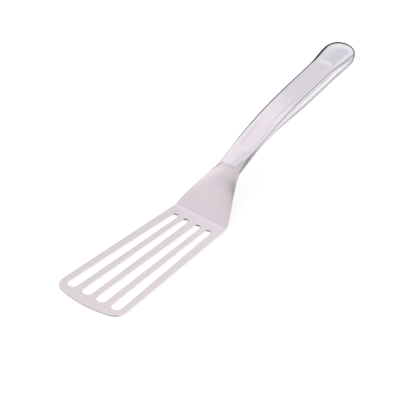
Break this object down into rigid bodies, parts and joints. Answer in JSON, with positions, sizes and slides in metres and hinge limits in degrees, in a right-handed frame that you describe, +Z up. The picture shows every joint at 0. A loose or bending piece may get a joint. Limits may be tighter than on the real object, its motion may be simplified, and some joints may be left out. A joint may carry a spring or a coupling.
{
  "type": "fish spatula",
  "caption": "Slotted fish spatula: flared stainless blade with long tapered slots, bent up at the heel to a crowned neck that is welded into an arched, hollow steel handle.",
  "frame": {"origin": "on the blade's underside, in the middle of the heel line, where the flat blade ends and the bend up to the handle starts", "axes": "+X along the blade's middle to its front edge, +Y to the left when looking along +X, +Z up, square to the flat blade"},
  "size_m": [0.3631, 0.0718, 0.0768],
  "materials": {
    "satin_steel": "fine satin-brushed stainless steel",
    "polished_steel": "polished stainless steel",
    "dressed_weld": "dressed stainless weld with a faint straw heat tint"
  },
  "bodies": {
    "root": {"slotted_blade": "satin_steel", "handle_top_shell": "polished_steel", "handle_bottom_shell": "polished_steel", "handle_seam_weld": "dressed_weld", "neck_weld": "dressed_weld"}
  },
  "joints": []
}
